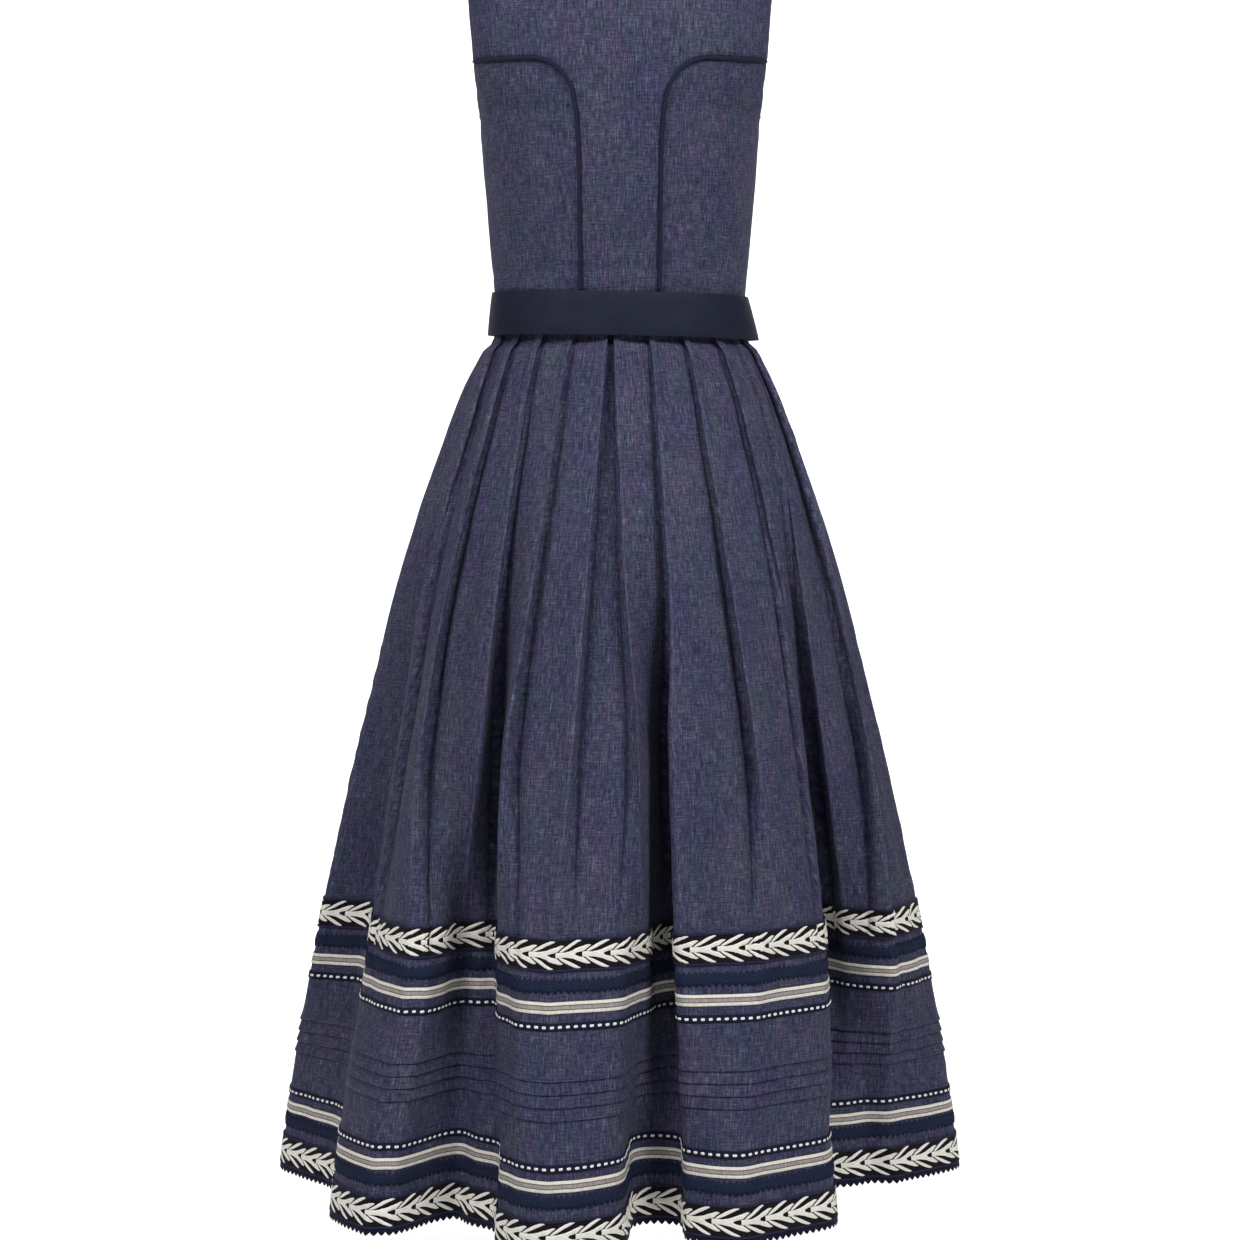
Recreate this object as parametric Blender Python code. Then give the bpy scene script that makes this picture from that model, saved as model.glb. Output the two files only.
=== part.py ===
"""A sleeveless dirndl, filled out as when worn: a fitted bodice, a belt, and a pleated skirt with trims.

The origin is midway between the straps, where the wearer's shoulders carry the dress. The back of the
dress faces -Y, +X is the wearer's right and +Z is up. Tables are in millimetres, and their heights are
measured from the waist seam: up on the bodice, down on the skirt.
"""

import math

import bmesh
import bpy
import numpy as np

MM = 0.001
WAIST = -385.0  # height of the waist seam under the shoulders
WALL = 1.8  # cloth with its seams and turnings
SEAM_INSET = 0.2  # each piece stops this far short of the seam line
TRIM_GAP = 0.3  # between a trim and the cloth that it is sewn on
CROSSWISE = 2.1  # squareness of the bodice's sections, where 2 is an ellipse

UNDERARM = 195.0
SHOULDER_NECK = 398.0
SHOULDER_SLOPE = 0.35
SHOULDER_FLAT = 60.0
ARMHOLE_HALF_DEPTH = 55.0
ARMHOLE_MIDDLE = 281.0
ARMHOLE_HALF_HEIGHT = 86.0
NECK_ANGLE = 0.507  # where the neckline meets the shoulder seam, in radians round from the centre
PLAIN_NECK_TOP = 393.0

# Height, half the width, and the depths of the back and the front from the side seams.
BODICE = (
    (0, 119, 88, 88),
    (23, 121, 91, 91),
    (60, 124.5, 98, 103),
    (100, 128, 105, 114),
    (140, 131.5, 110, 121),
    (195, 135.5, 113, 120),
    (245, 139.5, 113, 112),
    (300, 144, 107, 100),
    (345, 148, 100, 90),
    (400, 152, 95, 85),
)

# The curved seams: distance from the centre and height. The first BEND points run up from the waist,
# and the rest turn out to the armhole.
BACK_SEAM = (
    (37, 0), (37, 30), (37.3, 60), (37.7, 95), (38, 130), (38.6, 160), (40.7, 188), (44.5, 211),
    (52, 225.5), (67, 238.7), (83, 242.5), (108, 243.5), (122, 244.3), (132, 245.6), (141, 247),
)
FRONT_SEAM = (
    (62, 0), (64, 30), (68, 60), (74, 90), (80, 118), (86, 146), (92, 173), (98, 200),
    (105, 215), (113, 229), (122, 243), (132, 256), (143, 266),
)
BEND = 8
SIDE_ROWS = {
    -1: (0.13, 0.27, 0.42, 0.57, 0.7, 0.79, 0.806, 0.84, 0.9),
    1: (0.12, 0.25, 0.38, 0.5, 0.62, 0.733, 0.748, 0.78, 0.83, 0.91),
}
STRIP_SHARES = {-1: (0.0, 0.5), 1: (0.0, 0.2, 0.38, 0.52, 0.632, 0.81)}
YOKE_ROWS = (0.0, 0.3, 0.55, 0.75, 0.9, 0.975, 1.0)
NECKLINE_LOW = {-1: 345.0, 1: 240.0}
NECKLINE_POWER = {-1: 3.0, 1: 4.0}

PIPING_RADIUS = 1.7
PIPING_FOOT = 26.0  # just above the belt

BELT_TOP = 21.5
BELT_BOTTOM = -20.0
BELT_THICKNESS = 1.8
BELT_LAP = 0.48  # radians
BELT_RAMP = 0.35
BELT_TILT = 0.018
BELT_SIZES = ((BELT_TOP, 121.9, 91.5), (BELT_BOTTOM, 126.2, 95.6))
BELT_CELLS = 56

# Drop, half the width and half the depth of the plain oval.
SKIRT = (
    (0, 119, 88),
    (24, 124, 92),
    (31, 132, 98.5),
    (45, 140, 104),
    (80, 157, 116),
    (118, 171, 128),
    (157, 185, 139),
    (196, 198, 150),
    (274, 221, 172),
    (351, 240, 193),
    (429, 259, 213),
    (506, 276, 233),
    (584, 292.5, 253),
    (662, 307.5, 276),
    (739, 321, 298),
    (830, 333, 318),
)

# The pleats of the back, from the left side seam to the right one. A pleat has two rows, its folded edge
# and the foot beside it. x is measured from the centre back, and rise is how far the cloth stands out from
# the plain oval, both at the drops of FOLD_LEVELS. Cells is how many strips run on to the next row.
FOLD_LEVELS = (0, 100, 250, 400, 620, 750)
FOLDS = (
    ("one edge", 1, (-112, -141, -182, -212, -247, -262), (0, -2, -18, -60, -120, -82)),
    ("one foot", 1, (-109, -137, -178, -206, -238, -255), (-3, -8, -10, -15, -39, 14)),
    ("two edge", 1, (-94, -122, -160, -186, -198, -221), (0, 0, 3, 2, -9, 32)),
    ("two foot", 2, (-91, -118, -155, -176, -176, -198), (-3, -8, -14, -12, -26, 12)),
    ("three edge", 1, (-72, -91, -113, -130, -146, -150), (0, 0, 2, -8, -88, -74)),
    ("three foot", 1, (-69, -86, -107, -116, -117, -109), (-3, -9, -18, -50, -102, -46)),
    ("four edge", 1, (-42, -58, -80, -105, -111, -105), (0, 1, 3, 0, -38, 8)),
    ("four foot", 2, (-39, -53, -75, -93, -92, -88), (-3, -8, -10, -10, -6, 32)),
    ("five edge", 1, (-10.5, -18, -31, -44, -66, -64), (0, 0, 2, 2, 7, 43)),
    ("five foot", 1, (-9, -15, -25, -35, -42, -38), (-5, -11, -14, -12, -4, 32)),
    ("six foot", 1, (-7.5, -5.5, -2, 5, -2, -2), (-5, -10, -13, -9, -21, 2)),
    ("six edge", 2, (-6, -2, 5, 17, 22, 15), (0, 0, 4, 4, -66, -88)),
    ("seven foot", 1, (24, 31, 41, 43, 51, 52), (-3, -8, -15, -64, -112, -84)),
    ("seven edge", 2, (27, 35, 46, 49, 57, 61), (0, 1, 4, 0, -34, -28)),
    ("eight foot", 1, (55, 73, 97, 117, 122, 104), (-3, -8, -12, -14, -24, 0)),
    ("eight edge", 2, (58, 77, 103, 126, 150, 150), (0, 0, 3, -4, -37, -14)),
    ("nine foot", 1, (84, 113, 144, 168, 190, 187), (-3, -8, -10, -20, -45, -23)),
    ("nine edge", 1, (87, 117, 150, 175, 198, 197), (0, 0, -8, -52, -165, -158)),
    ("ten foot", 1, (101, 138, 163, 183, 208, 207), (-3, -8, -16, -66, -150, -155)),
    ("ten edge", 1, (103, 142, 170, 192, 218, 217), (0, -14, -4, -42, -125, -150)),
    ("eleven foot", 1, (112, 154, 195, 226, 237, 235), (-3, -14, -14, -30, -92, -144)),
    ("eleven edge", 3, (114, 158, 202, 236, 262, 258), (0, 0, 2, -6, -52, -118)),
)
SIDE_CELLS = 3
FRONT_SHARE = 0.8  # the front's folds are the back's, turned half round and shallower

TUCK_EDGES = (684.0, 694.3, 704.6, 714.9)
TUCK_SPACING = 10.3
TUCK_STEP = 0.6
TUCK_RISE = 1.5

# Sewn on from the top down: name, top and bottom edge, thickness, finish.
TRIMS = (
    ("braid_upper", 564.5, 593.5, 1.6, "braid"),
    ("zigzag_upper", 599.5, 612.0, 1.6, "velvet"),
    ("ribbon_upper", 619.0, 629.0, 0.8, "ribbon"),
    ("strip_upper", 637.0, 643.0, 0.9, "strip"),
    ("strip_lower", 749.0, 755.0, 0.9, "strip"),
    ("ribbon_lower", 762.0, 772.0, 0.8, "ribbon"),
    ("zigzag_lower", 774.0, 786.5, 1.6, "velvet"),
    ("braid_lower", 795.0, 824.0, 1.6, "braid"),
    ("picot_edging", 824.6, 829.6, 0.9, "strip"),
)
HEM = 826.0
PLAIN_DROPS = (0, 24, 31, 48, 75, 110, 160, 220, 280, 340, 400, 460, 515)
INNER_DROPS = PLAIN_DROPS + (
    564.5, 593.5, 619.0, 643.0, 673.7, 694.9, 715.5, 749.0, 772.0, 795.0, HEM,
)

COLOURS = {
    "linen": ((0.058, 0.056, 0.089), 0.85),
    "belt": ((0.018, 0.021, 0.037), 0.6),
    "piping": ((0.016, 0.016, 0.035), 0.7),
    "braid": ((0.21, 0.19, 0.16), 0.85),
    "velvet": ((0.008, 0.012, 0.032), 0.9),
    "ribbon": ((0.55, 0.51, 0.43), 0.6),
    "strip": ((0.014, 0.014, 0.03), 0.8),
}


def material(finish):
    """The finish's own material, made the first time that it is asked for."""
    made = bpy.data.materials.get(finish)
    if made:
        return made
    made = bpy.data.materials.new(finish)
    made.use_nodes = True
    colour, roughness = COLOURS[finish]
    shader = made.node_tree.nodes["Principled BSDF"]
    shader.inputs["Base Color"].default_value = (*colour, 1)
    shader.inputs["Roughness"].default_value = roughness
    return made


def smooth(places, values, at):
    """Cubic curve through values at places, which never swings past them. Values may be rows of numbers."""
    places = np.asarray(places, float)
    values = np.asarray(values, float).reshape(len(places), -1)
    widths = np.diff(places)[:, None]
    rises = np.diff(values, axis=0) / widths
    slopes = np.vstack([rises[:1], np.zeros((len(places) - 2, values.shape[1])), rises[-1:]])
    product = rises[:-1] * rises[1:]
    total = np.where(product > 0, rises[:-1] + rises[1:], 1)
    slopes[1:-1] = np.where(product > 0, 2 * product / total, 0)
    i = int(np.clip(np.searchsorted(places, at) - 1, 0, len(places) - 2))
    width = widths[i]
    t = float(np.clip((at - places[i]) / width[0], 0, 1))
    ease = t * t * (3 - 2 * t)
    return (
        values[i] * (1 - ease)
        + values[i + 1] * ease
        + width * slopes[i] * t * (1 - t) ** 2
        - width * slopes[i + 1] * t * t * (1 - t)
    )


def shell(name, outer, inner, faces, finish):
    """A closed wall between two layers of points with the same faces. The rims join their open edges."""
    count = len(outer)
    edges = {}
    for face in faces:
        for a, b in zip(face, face[1:] + face[:1]):
            edges[(a, b)] = True
    all_faces = [tuple(face) for face in faces]
    all_faces += [tuple(count + i for i in reversed(face)) for face in faces]
    for a, b in edges:
        if (b, a) not in edges:
            all_faces += [(b, a, count + a), (b, count + a, count + b)]
    return solid(name, np.vstack([outer, inner]), all_faces, finish)


def solid(name, points, faces, finish):
    """A mesh object of the dress from points in millimetres, its faces turned outward."""
    mesh = bpy.data.meshes.new(name)
    mesh.from_pydata([tuple(p) for p in np.asarray(points) * MM], [], faces)
    shape = bmesh.new()
    shape.from_mesh(mesh)
    bmesh.ops.recalc_face_normals(shape, faces=shape.faces)
    shape.to_mesh(mesh)
    shape.free()
    mesh.materials.append(material(finish))
    mesh.shade_smooth()
    mesh.set_sharp_from_angle(angle=math.radians(50))
    made = bpy.data.objects.new(name, mesh)
    dress.objects.link(made)
    return made


def bodice_point(angle, height, face):
    """A point on the bodice. Angle is 0 at the centre and a right angle at the side, face -1 at the back."""
    width, back, front = smooth([row[0] for row in BODICE], [row[1:] for row in BODICE], height)
    depth = back if face < 0 else front
    from_middle = min(height - ARMHOLE_MIDDLE, 0) / ARMHOLE_HALF_HEIGHT
    armhole = ARMHOLE_HALF_DEPTH * math.sqrt(max(0, 1 - from_middle**2))
    x = width * math.sin(angle)
    reach = armhole + (depth - armhole) * max(0, 1 - abs(math.sin(angle)) ** CROSSWISE) ** (1 / CROSSWISE)
    up = min(max((height - UNDERARM) / (shoulder_height(x) - UNDERARM), 0), 1)
    return np.array([x, face * reach * math.sqrt(1 - up**3), WAIST + height])


def shoulder_height(x):
    return SHOULDER_NECK - SHOULDER_SLOPE * max(abs(x) - SHOULDER_FLAT, 0)


def bodice_normal(angle, height, face):
    """Outward direction of the bodice at a point, from two short steps towards the centre and the waist."""
    here = bodice_point(angle, height, face)
    inward = -0.02 if angle > 0 else 0.02
    across = (bodice_point(angle + inward, height, face) - here) / inward
    along = here - bodice_point(angle, height - 0.05, face)
    normal = np.cross(across, along) * -face
    return normal / np.linalg.norm(normal)


def angle_of(x, height):
    width = smooth([row[0] for row in BODICE], [row[1] for row in BODICE], height)[0]
    return math.asin(min(x / width, 1))


def cut_piece(name, places, faces, face):
    """A bodice piece from its (angle, height) places, its edges set back from the seam lines."""
    outer = np.array([bodice_point(angle, height, face) for angle, height in places])
    normals = np.array([bodice_normal(angle, height, face) for angle, height in places])
    used = {}
    for corner in faces:
        for a, b in zip(corner, corner[1:] + corner[:1]):
            used[(a, b)] = True
    centres = {}
    for corner in faces:
        middle = outer[list(corner)].mean(axis=0)
        for i in corner:
            centres.setdefault(i, []).append(middle)
    rim = {i for a, b in used if (b, a) not in used for i in (a, b)}
    moved = outer.copy()
    for i in rim:
        into = np.mean(centres[i], axis=0) - outer[i]
        into -= normals[i] * into.dot(normals[i])
        moved[i] += into / np.linalg.norm(into) * SEAM_INSET * 1.2
    return shell(name, moved, moved - normals * WALL, faces, "linen")


def grid_faces(index, rows, columns):
    """Two triangles for each cell of a grid whose points are numbered by index(row, column)."""
    faces = []
    for row in range(rows - 1):
        for column in range(columns - 1):
            a, b = index(row, column), index(row, column + 1)
            c, d = index(row + 1, column + 1), index(row + 1, column)
            faces += [[a, b, c], [a, c, d]]
    return faces


def seam_columns(seam):
    """Share of the way from the seam to the side at which each turned-out seam point lies, and its height."""
    x, height = seam[BEND - 1]
    start = angle_of(x, height)
    return [
        ((angle_of(x, height) - start) / (math.pi / 2 - start), height) for x, height in seam[BEND - 1 :]
    ]


def side_piece(name, seam, side, face):
    """The piece between a curved seam and the side seam. Its top edge is the seam's turned-out part."""
    rows = (0.0, *SIDE_ROWS[face], 1.0)
    columns = seam_columns(seam)
    places = []
    for up in rows:
        for share, top in columns:
            height = up * top
            low = min(height, seam[BEND - 1][1])
            x = smooth([p[1] for p in seam[:BEND]], [p[0] for p in seam[:BEND]], low)[0]
            start = angle_of(x, low)
            places.append((side * (start + (math.pi / 2 - start) * share), height))
    count = len(columns)
    faces = grid_faces(lambda row, column: row * count + column, len(rows), count)
    return cut_piece(name, places, faces, face)


def centre_piece(name, seam, sides, face):
    """The piece inside the curved seams: a strip from the waist, widening above their bends to the straps."""
    bend_x, bend_height = seam[BEND - 1]
    bend_angle = angle_of(bend_x, bend_height)
    half = [(share * bend_angle, bend_height) for share in STRIP_SHARES[face]]
    half += [(angle_of(x, height), height) for x, height in seam[BEND - 1 :]]
    if len(sides) == 2:
        yoke = [(-angle, height) for angle, height in reversed(half[1:])] + half
    else:
        yoke = [(sides[0] * angle, height) for angle, height in half]
    strip = [i for i, (angle, _) in enumerate(yoke) if abs(angle) <= bend_angle + 1e-9]
    places = []
    for up in YOKE_ROWS:
        for angle, bottom in yoke:
            share = min(abs(angle) / NECK_ANGLE, 1) ** NECKLINE_POWER[face]
            top = NECKLINE_LOW[face] + (PLAIN_NECK_TOP - NECKLINE_LOW[face]) * share
            if abs(angle) > NECK_ANGLE:
                top = shoulder_top(angle)
            places.append((angle, bottom + (top - bottom) * up))
    wide = len(yoke)
    faces = grid_faces(lambda row, column: row * wide + column, len(YOKE_ROWS), wide)
    first = len(places)
    rows = (0.0, *SIDE_ROWS[face])
    for up in rows:
        height = up * bend_height
        x = smooth([p[1] for p in seam[:BEND]], [p[0] for p in seam[:BEND]], height)[0]
        for i in strip:
            places.append((yoke[i][0] / bend_angle * angle_of(x, height), height))

    def index(row, column):
        return strip[column] if row == len(rows) else first + row * len(strip) + column

    faces += grid_faces(index, len(rows) + 1, len(strip))
    return cut_piece(name, places, faces, face)


def shoulder_top(angle):
    """Height at which a line up the body at this angle meets the shoulder seam."""
    height = SHOULDER_NECK
    for _ in range(6):
        height = shoulder_height(bodice_point(angle, height, 1)[0])
    return height


def piping(name, side):
    """Corded piping that stands on the curved back seam from the belt to the armhole."""
    route = [(37, PIPING_FOOT)] + [point for point in BACK_SEAM if point[1] > PIPING_FOOT + 5]
    curve = bpy.data.curves.new(name, "CURVE")
    curve.dimensions = "3D"
    curve.bevel_depth = PIPING_RADIUS * MM
    curve.bevel_resolution = 1
    curve.use_fill_caps = True
    spline = curve.splines.new("POLY")
    spline.points.add(len(route) - 1)
    for place, (x, height) in zip(spline.points, route):
        angle = side * angle_of(x, height)
        lift = bodice_normal(angle, height, -1) * (PIPING_RADIUS + TRIM_GAP + 0.25)
        place.co = (*((bodice_point(angle, height, -1) + lift) * MM), 1)
    curve.materials.append(material("piping"))
    dress.objects.link(bpy.data.objects.new(name, curve))


def belt():
    """A flat band once round the waist. Its end laps over its start at the centre front."""
    outer, inner = [], []
    for height, half_width, half_depth in BELT_SIZES:
        for i in range(BELT_CELLS + 1):
            turn = (2 * math.pi + BELT_LAP) * i / BELT_CELLS
            up = np.clip((turn - 2 * math.pi + BELT_RAMP) / BELT_RAMP, 0, 1)
            lift = (BELT_THICKNESS + 0.6) * up * up * (3 - 2 * up)
            at = math.pi / 2 - BELT_LAP / 2 + turn
            c, s = math.cos(at), math.sin(at)
            radius = (abs(c / half_width) ** CROSSWISE + abs(s / half_depth) ** CROSSWISE) ** (-1 / CROSSWISE)
            for layer, more in ((inner, lift), (outer, lift + BELT_THICKNESS)):
                x, y = (radius + more) * c, (radius + more) * s
                layer.append((x, y, WAIST + height - BELT_TILT * x))
    count = BELT_CELLS + 1
    faces = grid_faces(lambda row, column: row * count + column, 2, count)
    shell("belt", np.array(outer), np.array(inner), faces, "belt")


def fold_points(drop):
    """The corners of the skirt's section at a drop, all round from the left side, and where the sides are."""
    drops, sizes = [row[0] for row in SKIRT], [row[1:] for row in SKIRT]
    half_width, half_depth = smooth(drops, sizes, drop)
    level_widths = [smooth(drops, sizes, level)[0] for level in FOLD_LEVELS]
    shares = np.array([row[2] for row in FOLDS]).T / np.array(level_widths)[:, None]
    x = half_width * smooth(FOLD_LEVELS, shares, drop)
    rise = smooth(FOLD_LEVELS, np.array([row[3] for row in FOLDS]).T, drop)
    oval = half_depth * np.sqrt(np.clip(1 - (x / half_width) ** 2, 0, 1))
    back = np.column_stack([x, -(oval + rise)])
    front = np.column_stack([-x, oval + rise * FRONT_SHARE])
    return np.vstack([[[-half_width, 0]], back, [[half_width, 0]], front])


def skirt_ring(drop):
    """Points of the skirt's section at a drop and their outward directions, which keep a wall's thickness."""
    corners = fold_points(drop)
    cells = ([SIDE_CELLS] + [row[1] for row in FOLDS]) * 2
    after, before = np.roll(corners, -1, axis=0), np.roll(corners, 1, axis=0)
    tangents = after - before
    tangents /= np.linalg.norm(tangents, axis=1)[:, None]
    points = []
    for i, count in enumerate(cells):
        span = np.linalg.norm(after[i] - corners[i])
        for step in range(count):
            t = step / count
            ease = t * t * (3 - 2 * t)
            here = corners[i] * (1 - ease) + after[i] * ease
            here = here + span * tangents[i] * t * (1 - t) ** 2
            points.append(here - span * tangents[(i + 1) % len(corners)] * t * t * (1 - t))
    points = np.array(points)
    ahead = np.roll(points, -1, axis=0) - points
    right = np.column_stack([ahead[:, 1], -ahead[:, 0]]) / np.linalg.norm(ahead, axis=1)[:, None]
    left = np.roll(right, 1, axis=0)
    outward = (left + right) / np.maximum(1 + (left * right).sum(axis=1), 0.08)[:, None]
    for i, way in ((0, -1), (len(points) // 2, 1)):
        least = max(min(abs(left[i, 0]), abs(right[i, 0])), 0.4)
        outward[i] = (way / least, 0)
    return points, outward


def skirt_layer(drops, offset, tuck_rise=0.0):
    """Rows of points all round the skirt, moved out from the cloth's face by offset."""
    rows = []
    for drop in drops:
        points, outward = skirt_ring(drop)
        more = offset + (tuck_rise if drop in TUCK_EDGES else 0)
        flat = points + outward * more
        rows.append(np.column_stack([flat, np.full(len(flat), WAIST - drop)]))
    return np.array(rows)


def skirt_panel(name, outer, inner, columns, shift):
    """Half the skirt between its side seams. The inside has fewer rows, so a side edge is one flat face."""
    outer = outer[:, columns].copy()
    inner = inner[:, columns].copy()
    for layer in (outer, inner):
        for end, beside in ((0, 1), (-1, -2)):
            along = layer[:, beside] - layer[:, end]
            layer[:, end] += along * (shift / along[:, 1])[:, None]
        layer[0, :, 2] -= SEAM_INSET
    wide = len(columns)
    first = outer.shape[0] * wide
    faces = grid_faces(lambda row, column: row * wide + column, outer.shape[0], wide)
    faces += [
        face[::-1] for face in grid_faces(lambda row, column: first + row * wide + column, inner.shape[0], wide)
    ]
    last_outer, last_inner = (outer.shape[0] - 1) * wide, first + (inner.shape[0] - 1) * wide
    for i in range(wide - 1):
        faces += [[i + 1, i, first + i], [i + 1, first + i, first + i + 1]]
        faces += [
            [last_outer + i, last_outer + i + 1, last_inner + i + 1],
            [last_outer + i, last_inner + i + 1, last_inner + i],
        ]
    for column in (0, wide - 1):
        edge = [row * wide + column for row in range(outer.shape[0])]
        back = [first + row * wide + column for row in reversed(range(inner.shape[0]))]
        faces.append(edge + back if column == 0 else (edge + back)[::-1])
    return solid(name, np.vstack([outer.reshape(-1, 3), inner.reshape(-1, 3)]), faces, "linen")


def trim(name, top, bottom, thickness, finish):
    """A band sewn flat round the skirt: the skirt's own points between its edges, moved out."""
    inner = skirt_layer((top, bottom), TRIM_GAP)
    outer = skirt_layer((top, bottom), TRIM_GAP + thickness)
    wide = outer.shape[1]
    faces = grid_faces(lambda row, column: row * wide + column % wide, 2, wide + 1)
    shell(name, outer.reshape(-1, 3), inner.reshape(-1, 3), faces, finish)


def skirt():
    tucks = [TUCK_EDGES[0] - TUCK_SPACING]
    for edge in TUCK_EDGES:
        tucks += [edge, edge + TUCK_STEP]
    edges = [drop for row in TRIMS[:-1] for drop in row[1:3]]
    drops = sorted([*PLAIN_DROPS, *edges, *tucks, HEM])
    outer = skirt_layer(drops, 0, TUCK_RISE)
    inner = skirt_layer(INNER_DROPS, -WALL)
    around = outer.shape[1]
    half = around // 2
    skirt_panel("skirt_back", outer, inner, list(range(half + 1)), -SEAM_INSET)
    skirt_panel("skirt_front", outer, inner, [*range(half, around), 0], SEAM_INSET)
    for row in TRIMS:
        trim(*row)


for old in list(bpy.data.objects):
    bpy.data.objects.remove(old)
dress = bpy.data.collections.new("dirndl")
bpy.context.scene.collection.children.link(dress)

centre_piece("bodice_back_centre", BACK_SEAM, (-1, 1), -1)
for word, side in (("left", -1), ("right", 1)):
    side_piece(f"bodice_back_side_{word}", BACK_SEAM, side, -1)
    side_piece(f"bodice_front_side_{word}", FRONT_SEAM, side, 1)
    centre_piece(f"bodice_front_{word}", FRONT_SEAM, (side,), 1)
    piping(f"piping_{word}", side)
belt()
skirt()
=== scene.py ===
"""A sleeveless dirndl, filled out as when worn and seen from behind: its cloth, trims, light and camera.

The sections follow the dress as it is sewn. Sizes are in millimetres from the waist seam, up on the
bodice and down on the skirt, and MM turns them into Blender's metres.
"""

import math

import bpy
import numpy as np
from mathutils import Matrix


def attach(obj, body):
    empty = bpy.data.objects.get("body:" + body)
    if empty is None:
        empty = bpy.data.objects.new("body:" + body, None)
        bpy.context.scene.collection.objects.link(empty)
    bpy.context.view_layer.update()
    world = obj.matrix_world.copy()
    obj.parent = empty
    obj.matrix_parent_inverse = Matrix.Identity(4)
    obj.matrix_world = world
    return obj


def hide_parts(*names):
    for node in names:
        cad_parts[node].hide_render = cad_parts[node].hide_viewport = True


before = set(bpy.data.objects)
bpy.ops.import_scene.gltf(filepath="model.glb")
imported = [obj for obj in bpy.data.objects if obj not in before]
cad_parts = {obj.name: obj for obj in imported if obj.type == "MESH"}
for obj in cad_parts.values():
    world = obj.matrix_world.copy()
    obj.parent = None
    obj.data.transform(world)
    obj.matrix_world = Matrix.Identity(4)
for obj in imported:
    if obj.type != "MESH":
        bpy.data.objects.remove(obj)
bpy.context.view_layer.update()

# Bodice. Slate-blue linen chambray, cut in a centre back, two side backs, two fronts and two side fronts,
# and sewn along curved seams. The seam turnings make a thin groove where two pieces meet.
MM = 0.001
WAIST = -385.0  # the waist seam, below the shoulders
CLOTH = 1.3  # thickness of the bodice's cloth
SQUARENESS = 2.1  # of the body's sections: 2 is an ellipse
UNDERARM = 195.0  # height where back and front start to lean in to the shoulders
SHOULDER_NECK = 398.0  # height of the shoulders beside the neck
SHOULDER_SLOPE = 0.35
SHOULDER_FLAT = 60.0  # from the middle to where the shoulder starts to slope
ARMHOLE_DEPTH = 55.0  # half of it, from its middle to the back or the front
ARMHOLE_MIDDLE = 281.0
ARMHOLE_HEIGHT = 86.0  # from its middle to its foot
NECK_ANGLE = 0.507  # from the centre to the strap, as the angle round the body
NECK_TOP = 394.3
# Each row of the body is a height, its half width there, and its depths behind and in front.
BODY = np.array((
    (0, 119, 88, 88), (23, 121, 91, 91), (60, 124.5, 98, 103), (100, 128, 105, 114), (140, 131.5, 110, 121),
    (195, 135.5, 113, 120), (245, 139.5, 113, 112), (300, 144, 107, 100), (345, 148, 100, 90),
    (400, 152, 95, 85),
))
# The curved seams by x and height. They stand upright as far as point BEND and turn out to the armhole.
BACK_SEAM = np.array((
    (37, 0), (37, 30), (37.3, 60), (37.7, 95), (38, 130), (38.6, 160), (40.7, 186), (44.5, 207.3),
    (51.5, 220.6), (58.7, 227.6), (68, 233.2), (83, 236.8), (108, 236.9), (122, 237.2), (132, 237.7),
    (141, 238.4),
))
FRONT_SEAM = np.array((
    (62, 0), (64, 30), (68, 60), (74, 90), (80, 118), (86, 146), (92, 173), (98, 200),
    (105, 215), (113, 229), (122, 243), (132, 256), (143, 266),
))
BEND = 7
BODY_RADIUS = 120.0  # turns an angle round the body into a length of cloth
SEAM_GROOVE = 0.002  # angle from a seam to the cloth's edge on each side
SEAM_TURN = -0.75  # how far the edges roll in
NECK_LOW = {-1: 345.0, 1: 240.0}  # lowest point of the neckline behind and in front
NECK_POWER = {-1: 3.0, 1: 4.0}  # how square it is there
WEAVE = 1.1  # visible thread width: real threads are 0.4 mm, too fine to show from here
SLUB = 8.5  # usual length of a thick place in the yarn


def curve_through(places, values, at):
    """A smooth curve through values at places, read at one or more points. It never swings past them."""
    places = np.asarray(places, float)
    values = np.asarray(values, float).reshape(len(places), -1)
    at = np.atleast_1d(np.asarray(at, float))
    widths = np.diff(places)[:, None]
    rises = np.diff(values, axis=0) / widths
    product = rises[:-1] * rises[1:]
    total = np.where(product > 0, rises[:-1] + rises[1:], 1)
    slopes = np.vstack([rises[:1], np.where(product > 0, 2 * product / total, 0), rises[-1:]])
    i = np.clip(np.searchsorted(places, at) - 1, 0, len(places) - 2)
    width = widths[i]
    t = np.clip((at - places[i]) / width[:, 0], 0, 1)[:, None]
    ease = t * t * (3 - 2 * t)
    bend = width * slopes[i] * t * (1 - t) ** 2 - width * slopes[i + 1] * t * t * (1 - t)
    return values[i] * (1 - ease) + values[i + 1] * ease + bend


def linear(colour):
    """An sRGB hex colour as the linear one that a shader takes."""
    parts = [int(colour[i : i + 2], 16) / 255 for i in (1, 3, 5)]
    return (*[c / 12.92 if c <= 0.04045 else ((c + 0.055) / 1.055) ** 2.4 for c in parts], 1.0)


def add(tree, kind, sockets=None, stops=(), out=0, **settings):
    """Adds a shader node with its settings and gives back one of its outputs. A socket takes a constant or
    another node's output, and stops are a colour ramp's places and colours."""
    made = tree.nodes.new("ShaderNode" + kind)
    for name, value in settings.items():
        setattr(made, name, value)
    for name, value in (sockets or {}).items():
        if isinstance(value, bpy.types.NodeSocket):
            tree.links.new(value, made.inputs[name])
        else:
            made.inputs[name].default_value = value
    if stops:
        ramp = made.color_ramp.elements
        for _ in stops[2:]:
            ramp.new(0.5)
        for element, (position, colour) in zip(ramp, stops):
            element.position = position
            element.color = linear(colour)
    return made.outputs[out]


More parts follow.
